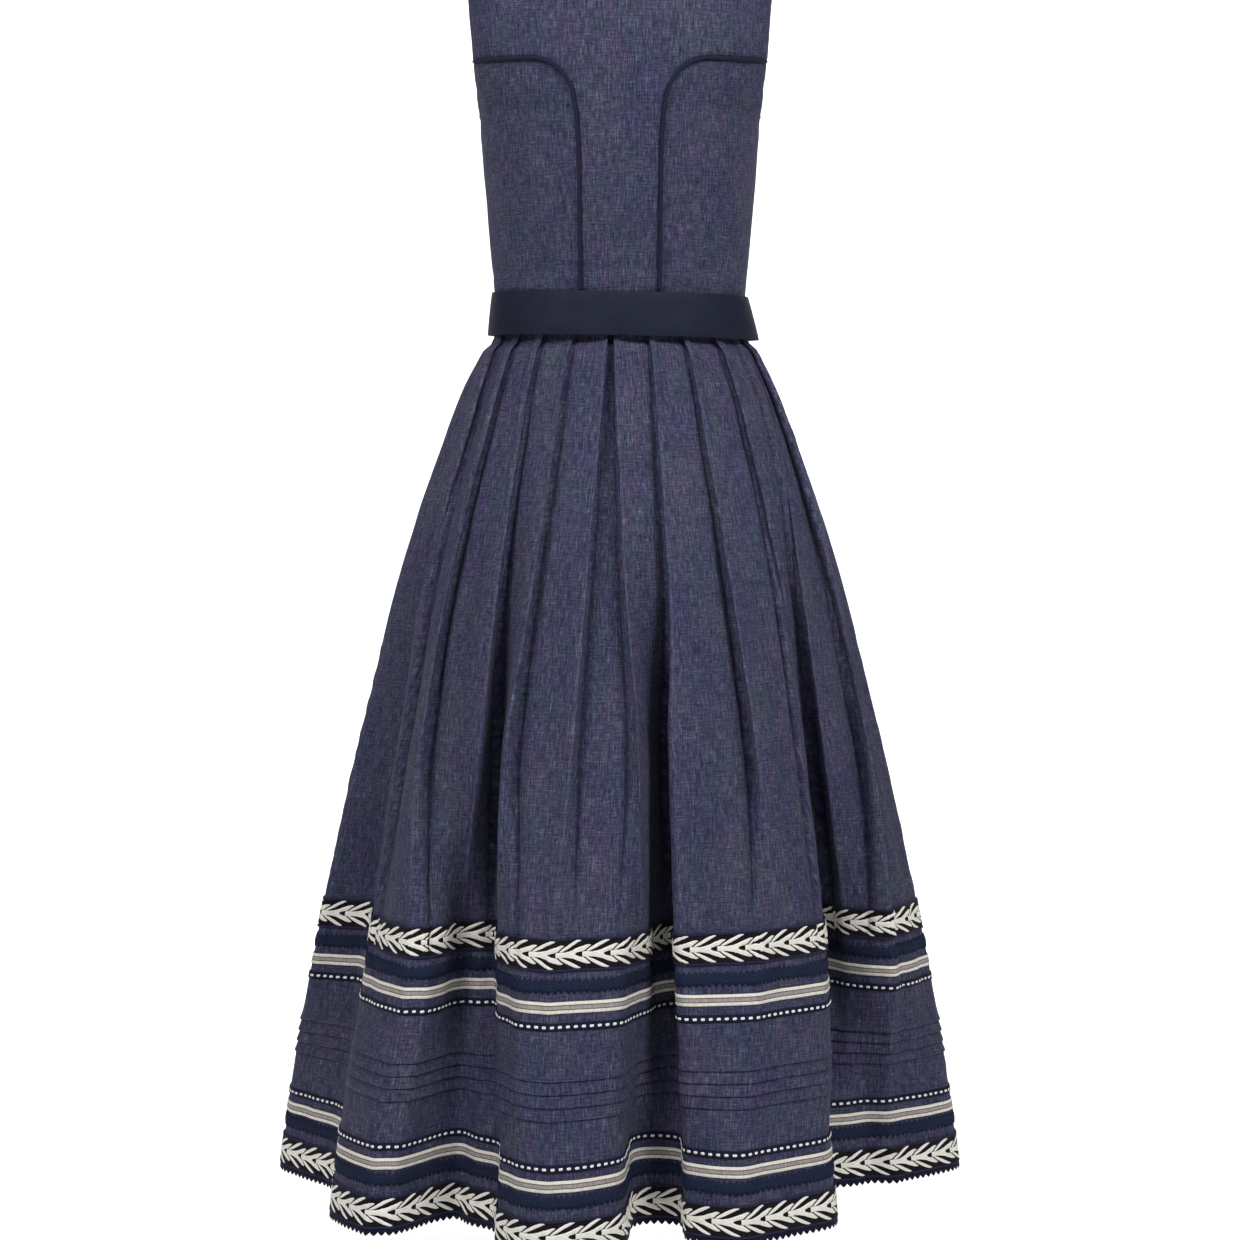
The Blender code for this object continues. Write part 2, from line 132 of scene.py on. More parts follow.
def new_material(name, colour, roughness, sheen=0.0, gloss=0.1):
    """A named material with its shader, ready for a colour pattern and a bump. Loose fibres trap most of the
    light that a smooth surface would mirror, so cloth has a low gloss."""
    made = bpy.data.materials.new(name)
    made.use_nodes = True
    made.diffuse_color = linear(colour)
    shader = made.node_tree.nodes["Principled BSDF"]
    shader.inputs["Base Color"].default_value = linear(colour)
    shader.inputs["Roughness"].default_value = roughness
    shader.inputs["Sheen Weight"].default_value = sheen
    shader.inputs["Sheen Roughness"].default_value = 0.6
    shader.inputs["Specular IOR Level"].default_value = gloss
    return made, made.node_tree, shader


def streaks(tree, across, along, detail=2.0, seed=0.0):
    """Noise stretched along the threads: across and along are its grain in millimetres."""
    place = add(tree, "UVMap", uv_map="thread")
    scale = (1000 / across, 1000 / along, 1)
    place = add(tree, "Mapping", {"Vector": place, "Location": (seed, seed * 0.7, 0), "Scale": scale})
    grain = {"Vector": place, "Scale": 1.0, "Detail": detail, "Roughness": 0.6}
    return add(tree, "TexNoise", grain, out="Fac")


def show_threads(tree, shader, colour, relief, strength=0.0, depth=0.0):
    """Gives cloth its colour pattern and the relief of its threads, whose depth is in metres."""
    tree.links.new(colour, shader.inputs["Base Color"])
    if strength:
        raised = add(tree, "Bump", {"Height": relief, "Strength": strength, "Distance": depth})
        tree.links.new(raised, shader.inputs["Normal"])


# Linen chambray, woven with a pale and a dark yarn: matt, with slubs that run mostly down the warp and a
# few across, and slow changes between a bluer and a greyer cast.
linen, tree, shader = new_material("linen_chambray", "#44445B", 0.9, 0.03)
warp = streaks(tree, WEAVE, SLUB, 3.0)
weft = streaks(tree, SLUB * 0.8, WEAVE, 3.0, 3.1)
slubs = streaks(tree, 1.7, 24.0, 1.0, 7.7)
cross_slubs = streaks(tree, 20.0, 1.6, 1.0, 5.3)
cast = streaks(tree, 46.0, 90.0, 2.0, 1.9)
tint = streaks(tree, 20.0, 60.0, 2.0, 9.1)
threads = add(tree, "Math", {0: warp, 1: 0.38}, operation="MULTIPLY")
for yarn, weight in ((weft, 0.28), (slubs, 0.2), (cross_slubs, 0.14)):
    threads = add(tree, "Math", {0: yarn, 1: weight, 2: threads}, operation="MULTIPLY_ADD")
# The wear attribute carries painted light and shade: the pressed edges of the pleats are painted paler,
# a painted highlight with a little rubbing, the troughs and creases are painted darker as painted shade,
# and the skirt is painted paler over the hips and darker towards the hem.
wear_and_painted_light = add(tree, "Attribute", out="Fac", attribute_name="wear_and_painted_light")
wear_and_painted_light = add(tree, "Math", {0: wear_and_painted_light, 1: 0.5, 2: 0.5}, operation="MULTIPLY_ADD")
yarn_colours = ((0.36, "#242639"), (0.45, "#3F4157"), (0.52, "#53536D"), (0.6, "#74738A"), (0.69, "#A7A5B6"))
colour = add(tree, "ValToRGB", {"Fac": threads}, yarn_colours)
# The last of these multiplies in the painted light and shade that the wear attribute carries.
for change, stops in (
    (cast, ((0.36, "#E6E8F6"), (0.64, "#FFFEF9"))),
    (tint, ((0.38, "#FFF2FF"), (0.62, "#EFFFF6"))),
    (wear_and_painted_light, ((0.0, "#9C9CA8"), (0.5, "#E7E7E7"), (1.0, "#FFFFFF"))),
):
    hue = add(tree, "ValToRGB", {"Fac": change}, stops)
    colour = add(tree, "MixRGB", {"Fac": 1.0, "Color1": colour, "Color2": hue}, blend_type="MULTIPLY")
show_threads(tree, shader, colour, threads, 0.5, 0.0006)

scene = bpy.context.scene


def new_object(name, points, faces, finishes):
    """A smooth object from points in metres, with its finishes."""
    mesh = bpy.data.meshes.new(name)
    mesh.from_pydata(points, [], faces)
    for finish in finishes:
        mesh.materials.append(finish)
    mesh.shade_smooth()
    made = bpy.data.objects.new(name, mesh)
    scene.collection.objects.link(made)
    return made


def make_piece(name, points, faces, finishes, uv=None, which=None, wall=0.0):
    """A piece of the dress from points in millimetres. uv is one pair for each face corner, in millimetres of
    cloth. which picks the finish of each face, and wall is how thick the cloth grows on its wrong side."""
    faces = faces if isinstance(faces, list) else faces.tolist()
    made = new_object(name, (np.asarray(points).reshape(-1, 3) * MM).tolist(), faces, finishes)
    if uv is not None:
        made.data.uv_layers.new(name="thread").data.foreach_set("uv", (np.asarray(uv) * MM).ravel())
    if which is not None:
        made.data.polygons.foreach_set("material_index", np.asarray(which, int))
    if wall:
        thicken = made.modifiers.new("wall", "SOLIDIFY")
        thicken.thickness = wall * MM
        thicken.offset = -1
        thicken.use_even_offset = False
    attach(made, "root")
    return made


def grid(rows, columns, turned=False, closed=False):
    """The four corners of each cell of a grid of points that is numbered row by row."""
    cells = columns if closed else columns - 1
    row, column = np.meshgrid(np.arange(rows - 1), np.arange(cells), indexing="ij")
    here, after = row * columns, (column + 1) % columns
    corners = [here + column, here + after, here + columns + after, here + columns + column]
    faces = np.stack(corners, axis=-1).reshape(-1, 4)
    return faces[:, ::-1] if turned else faces


def unevenness(u, v, size, seed):
    """Slow random rise and fall of cloth, from -1 to 1, over distances of about size."""
    draw = np.random.RandomState(seed)
    total = np.zeros(np.broadcast(u, v).shape)
    for _ in range(9):
        turn, length, start = draw.uniform(0, math.pi), size * draw.uniform(0.7, 1.8), draw.uniform(0, 6.28)
        total += np.sin((u * math.cos(turn) + v * math.sin(turn)) * 6.28 / length + start)
    return total / 4.5


def shoulder_height(x):
    return SHOULDER_NECK - SHOULDER_SLOPE * np.maximum(np.abs(x) - SHOULDER_FLAT, 0)


def body_point(angle, height, face):
    """Points on the body. Angle is 0 at the centre and a right angle at the side, face -1 at the back."""
    sizes = curve_through(BODY[:, 0], BODY[:, 1:], height.ravel())
    width, back, front = (column.reshape(height.shape) for column in sizes.T)
    depth = back if face < 0 else front
    from_middle = np.minimum(height - ARMHOLE_MIDDLE, 0) / ARMHOLE_HEIGHT
    armhole = ARMHOLE_DEPTH * np.sqrt(np.maximum(0, 1 - from_middle**2))
    x = width * np.sin(angle)
    round_off = np.maximum(0, 1 - np.abs(np.sin(angle)) ** SQUARENESS) ** (1 / SQUARENESS)
    reach = armhole + (depth - armhole) * round_off
    up = np.clip((height - UNDERARM) / (shoulder_height(x) - UNDERARM), 0, 1)
    return np.stack([x, face * reach * np.sqrt(1 - up**3), WAIST + height], axis=-1)


def angle_of(x, height):
    width = curve_through(BODY[:, 0], BODY[:, 1], height)[:, 0]
    return np.arcsin(np.minimum(np.atleast_1d(x) / width, 1))


def body_outward(angle, height, face):
    """Outward direction of the body, from two short steps towards the centre and the waist."""
    here = body_point(angle, height, face)
    inward = np.where(angle > 0, -0.02, 0.02)
    across = (body_point(angle + inward, height, face) - here) / inward[..., None]
    along = here - body_point(angle, height - 0.05, face)
    outward = np.cross(across, along) * -face
    return outward / np.linalg.norm(outward, axis=-1, keepdims=True)


def run_along(line):
    """Distance run from the first point of a line to each of its points."""
    return np.concatenate([[0], np.cumsum(np.linalg.norm(np.diff(line, axis=0), axis=1))])


def seam_line(seam, count):
    """Evenly spread points (x, height) on the turned-out part of a curved seam."""
    run = run_along(seam[BEND:])
    return curve_through(run, seam[BEND:], np.linspace(0, run[-1], count))


def seam_angle(seam, height):
    """Angle round the body of the upright part of a curved seam, at each height."""
    x, heights = seam[: BEND + 1].T
    return angle_of(curve_through(heights, x, height.ravel())[:, 0], height.ravel()).reshape(height.shape)


def hang(u, v):
    """How far the bodice's cloth stands off the body: it is a little uneven, and pushed up over the belt."""
    over_belt = np.clip(1 - np.abs(v - 34) / 26, 0, 1)
    lift = 0.35 * unevenness(u, v * 0.6, 34, 11) + 0.5 * unevenness(u * 0.8, v, 95, 12)
    return lift + over_belt * 0.9 * np.sin(v / 4.1 + 1.4 * unevenness(u, v, 70, 13))


def bodice_piece(name, angle, height, face, lift, faces, shoulder=()):
    """A piece of the bodice from its places on the body and how far its cloth stands off there."""
    points = body_point(angle, height, face) + body_outward(angle, height, face) * lift[..., None]
    points = points.reshape(-1, 3)
    # The straps of the back and the front meet at the shoulder seams.
    points[list(shoulder), 1] = face * 0.1
    uv = np.stack([angle * BODY_RADIUS, height], axis=-1).reshape(-1, 2)[faces.ravel()]
    made = make_piece(name + "_linen", points, faces, [linen], uv, wall=CLOTH)
    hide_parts(name)
    return made


def side_piece(name, angle, height, face, turned):
    """A side piece from its grid of places: its edges roll in at the seams, and it drags under the arm."""
    u = angle * BODY_RADIUS
    lift = hang(u, height)
    # The drag lines lie just under the armhole and grow towards the side.
    drag = np.clip(1 - np.abs(height - 208) / 44, 0, 1) * np.clip((np.abs(angle) - 0.75) / 0.6, 0, 1)
    lift += drag * 1.1 * np.sin((height - 46 * np.abs(angle)) / 6.5 + unevenness(u, height, 60, 14))
    rolled = np.full(angle.shape, SEAM_TURN)
    rolled[1:-1, 1:-1] = np.minimum(lift, 0.1)[1:-1, 1:-1]
    rolled[2:-2, 2:-2] = lift[2:-2, 2:-2]
    return bodice_piece(name, angle, height, face, rolled, grid(*angle.shape, turned=turned))


SIDE_COLUMNS = 44
SIDE_ROWS = 84
SIDES = (("left", -1), ("right", 1))
for word, side in SIDES:
    for where, seam, face in (("back", BACK_SEAM, -1), ("front", FRONT_SEAM, 1)):
        line = seam_line(seam, SIDE_COLUMNS)
        bend_x, bend_height = seam[BEND]
        bend = angle_of(bend_x, bend_height)[0]
        share = (angle_of(line[:, 0], line[:, 1]) - bend) / (math.pi / 2 - bend)
        height = np.linspace(0.0008, 0.9992, SIDE_ROWS)[:, None] * line[:, 1]
        inner = seam_angle(seam, np.minimum(height, bend_height)) + SEAM_GROOVE
        angle = side * (inner + (math.pi / 2 - SEAM_GROOVE - inner) * share)
        piece = side_piece(f"bodice_{where}_side_{word}", angle, height, face, side * face > 0)

STRIP_HALF = 16  # columns from the centre to the bend
STRIP_ROWS = 78
YOKE_ROWS = 60


def centre_grid(seam, sides, face):
    """Places of a centre piece: a strip up from the waist that widens above the bends to the shoulders."""
    bend_x, bend_height = seam[BEND]
    bend = angle_of(bend_x, bend_height)[0]
    line = seam_line(seam, SIDE_COLUMNS)
    wide = np.hstack([np.linspace(0, bend, STRIP_HALF)[:-1], angle_of(line[:, 0], line[:, 1])])
    foot = np.hstack([np.full(STRIP_HALF - 1, bend_height), line[:, 1]])
    if len(sides) == 2:
        wide, foot = np.hstack([-wide[:0:-1], wide]), np.hstack([foot[:0:-1], foot])
    else:
        wide = wide * sides[0]
    top = np.full(len(wide), SHOULDER_NECK)
    for _ in range(8):
        top = shoulder_height(body_point(wide, top, 1)[:, 0])
    neck = np.minimum(np.abs(wide) / NECK_ANGLE, 1) ** NECK_POWER[face]
    top = np.where(np.abs(wide) > NECK_ANGLE, top, NECK_LOW[face] + (NECK_TOP - NECK_LOW[face]) * neck)
    up = np.linspace(0, 1, YOKE_ROWS)
    up = up * 0.5 + 0.5 * (1 - (1 - up) ** 2)
    yoke_height = foot + (top - foot) * up[:, None] * 0.9994
    yoke_angle = np.broadcast_to(wide, yoke_height.shape)
    strip = np.abs(wide) <= bend + 1e-9
    strip_height = np.linspace(0.2, bend_height, STRIP_ROWS)[:-1]
    strip_angle = wide[strip] / bend * (seam_angle(seam, strip_height)[:, None] - SEAM_GROOVE)
    strip_height = np.broadcast_to(strip_height[:, None], strip_angle.shape)
    return yoke_angle, yoke_height, strip, strip_angle, strip_height


def centre_piece(name, seam, sides, face):
    """A centre piece: the strip's grid and the yoke's grid share the line between the two bends."""
    yoke_angle, yoke_height, strip, strip_angle, strip_height = centre_grid(seam, sides, face)
    angle = np.hstack([yoke_angle.ravel(), strip_angle.ravel()])
    height = np.hstack([yoke_height.ravel(), strip_height.ravel()])
    turned = (sides[0] * face > 0) if len(sides) == 1 else face > 0
    yoke = grid(*yoke_angle.shape, turned=turned)
    first = yoke_angle.size
    strip_numbers = first + np.arange(strip_angle.size).reshape(strip_angle.shape)
    numbers = np.vstack([strip_numbers, np.flatnonzero(strip)[None, :]])
    faces = np.vstack([yoke, numbers.ravel()[grid(*numbers.shape, turned=turned)]])
    # An edge with a face on one side only lies in a seam or at an opening, where the cloth is turned in.
    edges = np.vstack([faces[:, [a, b]] for a, b in ((0, 1), (1, 2), (2, 3), (3, 0))])
    _, index, count = np.unique(np.sort(edges, axis=1), axis=0, return_index=True, return_counts=True)
    lift = hang(angle * BODY_RADIUS, height)
    lift[np.unique(edges[index[count == 1]])] = SEAM_TURN
    shoulder = first - yoke_angle.shape[1] + np.flatnonzero(np.abs(yoke_angle[-1]) > NECK_ANGLE)
    return bodice_piece(name, angle, height, face, lift, faces, shoulder)


back = centre_piece("bodice_back_centre", BACK_SEAM, (-1, 1), -1)
for word, side in SIDES:
    front = centre_piece(f"bodice_front_{word}", FRONT_SEAM, (side,), 1)

# Piping. A cord covered with navy cotton cut on the bias, caught in the curved back seams so that it
# stands up between the pieces. The bias weave shows as a fine slanting line.
PIPING = 1.9  # radius of the covered cord
PIPING_FOOT = 24.0  # height where it goes under the belt
PIPING_END = 1.555  # angle where it ends, just short of the side
bias_cotton, tree, shader = new_material("bias_cotton", "#1C1D30", 0.75, 0.02)
thread_place = add(tree, "UVMap", uv_map="thread")
slant = {"Vector": thread_place, "Scale": 260.0, "Distortion": 0.6, "Detail": 1.0}
slant = add(tree, "TexWave", slant, out="Fac", wave_type="BANDS", bands_direction="DIAGONAL")
yarn = add(tree, "Math", {0: slant, 1: 0.6}, operation="MULTIPLY")
yarn = add(tree, "Math", {0: streaks(tree, 3, 3), 1: 0.5, 2: yarn}, operation="MULTIPLY_ADD")
colour = add(tree, "ValToRGB", {"Fac": yarn}, ((0.2, "#15162A"), (0.55, "#1F2036"), (0.9, "#30314B")))
show_threads(tree, shader, colour, slant, 0.35, 0.0004)

for word, side in SIDES:
    seam = np.vstack([[37, PIPING_FOOT], BACK_SEAM[BACK_SEAM[:, 1] > PIPING_FOOT + 5]])
    run = run_along(seam)
    along = np.linspace(0, run[-1], 190)
    line = curve_through(run, seam, along)
    angle = angle_of(line[:, 0], line[:, 1])
    along, line, angle = (values[angle < PIPING_END] for values in (along, line, angle))
    # It sinks into the armhole's edge, where it is caught with the lining.
    proud = 0.75 - 1.25 * np.clip((angle - 1.1) / (PIPING_END - 1.1), 0, 1)
    outward = body_outward(side * angle, line[:, 1], -1)
    centre = body_point(side * angle, line[:, 1], -1) + outward * PIPING * proud[:, None]
    way = np.gradient(centre, axis=0)
    way /= np.linalg.norm(way, axis=1, keepdims=True)
    turns = np.linspace(0, 2 * math.pi, 12, endpoint=False)
    radius = PIPING * (1 + 0.05 * np.sin(along / 7.0) * np.sin(along / 2.3))
    up, across = outward[:, None], np.cross(way, outward)[:, None]
    round_it = np.cos(turns)[:, None] * up + np.sin(turns)[:, None] * across
    tube = centre[:, None] + radius[:, None, None] * round_it
    faces = grid(*tube.shape[:2], closed=True)
    uv = np.stack(np.broadcast_arrays(turns * PIPING, along[:, None]), -1).reshape(-1, 2)[faces.ravel()]
    cord = make_piece(f"piping_{word}_cotton", tube, faces, [bias_cotton], uv)
    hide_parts(f"piping_{word}")

# Skirt. Two linen panels, back and front, laid into pleats at the waist and sewn together at the sides.
# The pleats are pressed at the top and open into deep, soft folds. Four pintucks run round it near the hem.
SHEER = 0.9  # thickness of its single cloth
# Each row is a drop below the waist, and the skirt's half width and half depth there.
SKIRT = np.array((
    (0, 119, 88), (24, 124, 92), (31, 132, 98.5), (45, 140, 104), (80, 157, 116), (118, 171, 128),
    (157, 185, 139), (196, 198, 150), (274, 221, 172), (351, 240, 193), (429, 259, 213), (506, 276, 233),
    (584, 292.5, 253), (662, 307.5, 276), (739, 321, 298), (830, 333, 318),
))
# Each pair of rows is a pleat's folded edge and its foot, as they come from left to right, and each row is
# its x and its rise over the plain oval at the drops of LEVELS.
LEVELS = (0, 100, 250, 400, 620, 750)
FOLDS = (
    ("edge", (-112, -141, -182, -212, -247, -262), (0, -2, -18, -60, -120, -82)),
    ("foot", (-109, -137, -178, -206, -238, -255), (-3, -8, -10, -15, -39, 14)),
    ("edge", (-94, -122, -160, -186, -198, -221), (0, 0, 3, 2, -9, 32)),
    ("foot", (-91, -118, -155, -176, -176, -198), (-3, -8, -14, -12, -26, 12)),
    ("edge", (-72, -91, -113, -130, -146, -150), (0, 0, 2, -8, -88, -74)),
    ("foot", (-69, -86, -107, -116, -117, -109), (-3, -9, -18, -50, -102, -46)),
    ("edge", (-42, -58, -80, -105, -111, -105), (0, 1, 3, 0, -38, 8)),
    ("foot", (-39, -53, -75, -93, -92, -88), (-3, -8, -10, -10, -6, 32)),
    ("edge", (-10.5, -18, -31, -44, -66, -64), (0, 0, 2, 2, 7, 43)),
    ("foot", (-9, -15, -25, -35, -42, -38), (-5, -11, -14, -12, -4, 32)),
    ("foot", (-7.5, -5.5, -2, 5, -2, -2), (-5, -10, -13, -9, -21, 2)),
    ("edge", (-6, -2, 5, 17, 22, 15), (0, 0, 4, 4, -66, -88)),
    ("foot", (24, 31, 41, 43, 51, 52), (-3, -8, -15, -64, -112, -84)),
    ("edge", (27, 35, 46, 49, 57, 61), (0, 1, 4, 0, -34, -28)),
    ("foot", (55, 73, 97, 117, 122, 104), (-3, -8, -12, -14, -24, 0)),
    ("edge", (58, 77, 103, 126, 150, 150), (0, 0, 3, -4, -37, -14)),
    ("foot", (84, 113, 144, 168, 190, 187), (-3, -8, -10, -20, -45, -23)),
    ("edge", (87, 117, 150, 175, 198, 197), (0, 0, -8, -52, -165, -158)),
    ("foot", (101, 138, 163, 183, 208, 207), (-3, -8, -16, -66, -150, -155)),
    ("edge", (103, 142, 170, 192, 218, 217), (0, -14, -4, -42, -125, -150)),
    ("foot", (112, 154, 195, 226, 237, 235), (-3, -14, -14, -30, -92, -144)),
    ("edge", (114, 158, 202, 236, 262, 258), (0, 0, 2, -6, -52, -118)),
)
FRONT_SHARE = 0.8  # depth of the front's folds against the back's
TURN_TO_SEAM = 0.4  # of the way from an edge to the side seam, the furthest that the turn behind it reaches
# Drops, and at each: how far the cloth turns back under an edge, the ridge of a pressed edge, how far the
# cloth sinks right beside it, how far a pleat leans in to its foot, and how much paler or darker the cloth is
# painted: painted light over the hips and painted shade towards the hem.
UNDERLAP = ((0, 60, 150, 250, 420), (6.0, 8.0, 8.0, 5.0, 0.0))
PRESSED = ((0, 120, 300, 520, 600), (0.9, 1.1, 1.1, 0.8, 0.0))
TROUGH = ((0, 60, 300, 480, 600), (0.8, 2.2, 3.2, 3.0, 0.0))
GULLY = ((0, 150, 300, 450, 560, 660), (0.0, 0.6, 3.8, 7.5, 5.0, 0.0))
# Painted light by drop: paler over the hips, painted shade towards the hem.
PAINTED_LIGHT_BY_DROP = ((0, 50, 95, 165, 270, 540, 630, 826), (0.0, 0.0, 0.33, 0.36, 0.06, 0.0, -0.13, -0.15))
FLAT_FOLDS = (4, 5)  # the box pleat at the centre back, which stays flat
HEM = 826.0
TUCKS = (684.0, 694.3, 704.6, 714.9)
TUCK_RISE = 1.7
CELL = 6.4  # usual size of a mesh cell
TRIM_CELL = 4.8  # its height under the trims
UNDER_CELLS = 3  # across a turn that is hidden behind a fold


def fold_corners(drop):
    """Corners of the skirt's section at a drop, all round from the left side seam. A pleat has its folded
    edge, the turn hidden behind it, and its foot, where the cloth comes out beside the edge."""
    half_width, half_depth = curve_through(SKIRT[:, 0], SKIRT[:, 1:], drop)[0]
    level_widths = curve_through(SKIRT[:, 0], SKIRT[:, 1], LEVELS)[:, 0]
    shares = np.array([row[1] for row in FOLDS]).T / level_widths[:, None]
    x = half_width * curve_through(LEVELS, shares, drop)[0]
    rise = curve_through(LEVELS, np.array([row[2] for row in FOLDS]).T, drop)[0]
    under = curve_through(*UNDERLAP, drop)[0, 0]
    for i in range(len(FOLDS) - 2, -1, -2):
        edge, foot = (i, i + 1) if FOLDS[i][0] == "edge" else (i + 1, i)
        turn = (x[edge] + x[foot]) / 2 + under * np.sign(FOLDS[edge][1][0] - FOLDS[foot][1][0])
        furthest = abs(x[edge]) + TURN_TO_SEAM * (half_width - abs(x[edge]))
        x = np.insert(x, i + 1, np.clip(turn, -furthest, furthest))
        rise = np.insert(rise, i + 1, (rise[edge] + rise[foot]) / 2)
    oval = half_depth * np.sqrt(np.clip(1 - (x / half_width) ** 2, 0, 1))
    back = np.column_stack([x, -(oval + rise)])
    front = np.column_stack([-x, oval + rise * FRONT_SHARE])
    return np.vstack([[[-half_width, 0]], back, [[half_width, 0]], front])


# Corner numbers of one half's edges and feet, and whether the cloth after each corner is turned in.
edge_first = np.array([row[0] == "edge" for row in FOLDS[::2]])
first_turned = 1 + 3 * np.arange(len(edge_first))
EDGES = first_turned + np.where(edge_first, 0, 2)
FEET = first_turned + np.where(edge_first, 2, 0)
HALF_CORNERS = 1 + 3 * len(edge_first)
TURNED = np.isin(np.arange(2 * HALF_CORNERS) % HALF_CORNERS, [first_turned, first_turned + 1])
hem_corners = fold_corners(HEM)
hem_spans = np.linalg.norm(np.roll(hem_corners, -1, axis=0) - hem_corners, axis=1)
COUNTS = np.maximum(np.ceil(hem_spans / CELL).astype(int), np.where(TURNED, UNDER_CELLS, 6))
SPAN = np.repeat(np.arange(len(COUNTS)), COUNTS)
even = np.hstack([np.arange(count) / count for count in COUNTS])
# Cells stand closest at the folds.
SHARE = np.where(TURNED[SPAN], even, even - 0.8 * np.sin(2 * math.pi * even) / (2 * math.pi))
AROUND = len(SPAN)
HALF = int(COUNTS[:HALF_CORNERS].sum())
# Creases between the folds. Each row has its place across, counted in corners from the left side seam, how
# far it drifts over its length, the drop of its top, its length, half width and depth, as a trough below 0.
MAIN_CREASES = (
    (3.14, 0.05, 140, 480, 9, -5.0), (6.85, 0.0, 400, 280, 15, -6.5), (6.45, 0.15, 210, 340, 10, -3.6),
    (9.35, -0.1, 330, 300, 12, -4.2), (9.7, 0.0, 120, 240, 8, 2.2),
    (12.25, 0.05, 400, 330, 14, 3.4), (12.62, 0.12, 290, 330, 12, -4.6), (18.4, 0.1, 110, 260, 9, -2.6),
    (18.66, -0.1, 370, 340, 14, -4.4), (21.3, 0.3, 45, 90, 6, -2.6), (21.5, -0.12, 400, 320, 13, -4.2),
    (21.75, 0.05, 230, 280, 9, 2.4), (24.45, 0.12, 190, 320, 9, -3.2), (27.5, -0.1, 260, 360, 9, -3.4),
)
crease_list = []
for place, drift, top, long, wide, depth in MAIN_CREASES:
    crease_list.append((place, drift, top, long, wide, depth))
    crease_list.append((2 * HALF_CORNERS - place, -drift, top + 25, long, wide, 0.8 * depth))
# A smaller one is drawn between these least and greatest values for each wide stretch of cloth.
MINOR_LEAST = (0.25, -0.25, 90, 160, 7, -2.2)
MINOR_MOST = (0.75, 0.25, 420, 420, 12, 1.6)
draw = np.random.RandomState(5)
for i in np.flatnonzero(COUNTS >= 8):
    place, *crease = draw.uniform(MINOR_LEAST, MINOR_MOST)
    crease_list.append((i + place, *crease))
# Three more run down on each side of a side seam, placed by their share of the way to the next corner.
FLANKS = ((0.35, 0.05, 40, 700, 13, -7.0), (0.66, 0.0, 60, 560, 9, -8.0), (0.87, -0.05, 120, 560, 7, -8.0))
for share, drift, top, long, wide, depth in FLANKS:
    for seam, way in ((0, 1), (HALF_CORNERS, -1), (HALF_CORNERS, 1), (2 * HALF_CORNERS, -1)):
        crease_list.append((seam + way * share, way * drift, top, long, wide, depth))


def ring(drop):
    """The cloth's section at a drop: a point in each cell's corner, smooth between the folds' corners."""
    corners = fold_corners(drop)
    after, before = np.roll(corners, -1, axis=0), np.roll(corners, 1, axis=0)
    way = after - before
    way /= np.linalg.norm(way, axis=1)[:, None]
    span = np.linalg.norm(after - corners, axis=1)[SPAN, None]
    t = SHARE[:, None]
    ease = t * t * (3 - 2 * t)
    later = (SPAN + 1) % len(corners)
    points = corners[SPAN] * (1 - ease) + after[SPAN] * ease
    return points + span * way[SPAN] * t * (1 - t) ** 2 - span * way[later] * t * t * (1 - t)


def cloth(drops):
    """Rows of skirt points, their outward directions, the run round to each, and the painted light and shade
    on the cloth, with a little rubbing at the pressed edges.
    """
    rows = []
    starts = np.cumsum(COUNTS) - COUNTS
    for drop in drops:
        flat = ring(drop)
        run = run_along(np.vstack([flat, flat[:1]]))
        way = np.roll(flat, -1, axis=0) - np.roll(flat, 1, axis=0)
        out = np.column_stack([way[:, 1], -way[:, 0]])
        out /= np.linalg.norm(out, axis=1)[:, None]
        at = run[:-1]
        tables = (PRESSED, TROUGH, GULLY, PAINTED_LIGHT_BY_DROP)
        press, sunk, lean, painted_light_by_drop = (curve_through(*table, drop)[0, 0] for table in tables)
        # Each row starts from the painted light by drop: paler over the hips, painted shade towards the hem.
        more, wear_and_painted_light = np.zeros(AROUND), np.full(AROUND, painted_light_by_drop)
        for half in (0, HALF_CORNERS):
            for fold, (edge, foot) in enumerate(zip(EDGES + half, FEET + half)):
                if press > 0.01:
                    ridge = press * np.exp(-(((at - at[starts[edge]]) / 1.6) ** 2))
                    more += ridge
                    # The ridge is also painted paler: a painted highlight, with a little rubbing.
                    wear_and_painted_light += ridge
                if sunk > 0.01:
                    beside = (at - at[starts[foot]]) * (1 if foot > edge else -1)
                    before, after = np.exp(-((beside / 1.6) ** 2)), np.exp(-np.abs(beside) / 1.3)
                    trough = sunk * np.where(beside < 0, before, after)
                    kept = 0.4 if half == 0 and fold in FLAT_FOLDS else 1.0
                    more -= kept * trough
                    # The cloth beside the foot is painted darker: painted shade in the trough.
                    wear_and_painted_light -= 0.35 * trough
                    before, after = np.exp(-((beside / 3.5) ** 2)), np.exp(-np.abs(beside) / 12)
                    more -= kept * lean * np.where(beside < 0, before, after)
        for centre, drift, top, long, wide, depth in crease_list:
            strength = math.exp(-(((drop - top - long / 2) / (long / 2)) ** 2)) * depth
            if abs(strength) > 0.05:
                middle = np.interp(centre + drift * (drop - top) / long, SPAN + SHARE, at)
                crease = strength * np.exp(-(((at - middle) / wide) ** 2))
                more += crease
                # The crease is painted darker in its trough and paler on its ridge: painted shade and
                # highlight.
                wear_and_painted_light += 0.05 * crease
        soft = min(1.0, drop / 120)
        more += soft * 0.5 * unevenness(at, drop * 0.28, 42, 21) + 0.2 * unevenness(at, drop * 0.5, 15, 22)
        points = np.column_stack([flat + out * more[:, None], np.full(AROUND, WAIST - drop)])
        rows.append((points, np.column_stack([out, np.zeros(AROUND)]), run, wear_and_painted_light))
    return [np.array(part) for part in zip(*rows)]


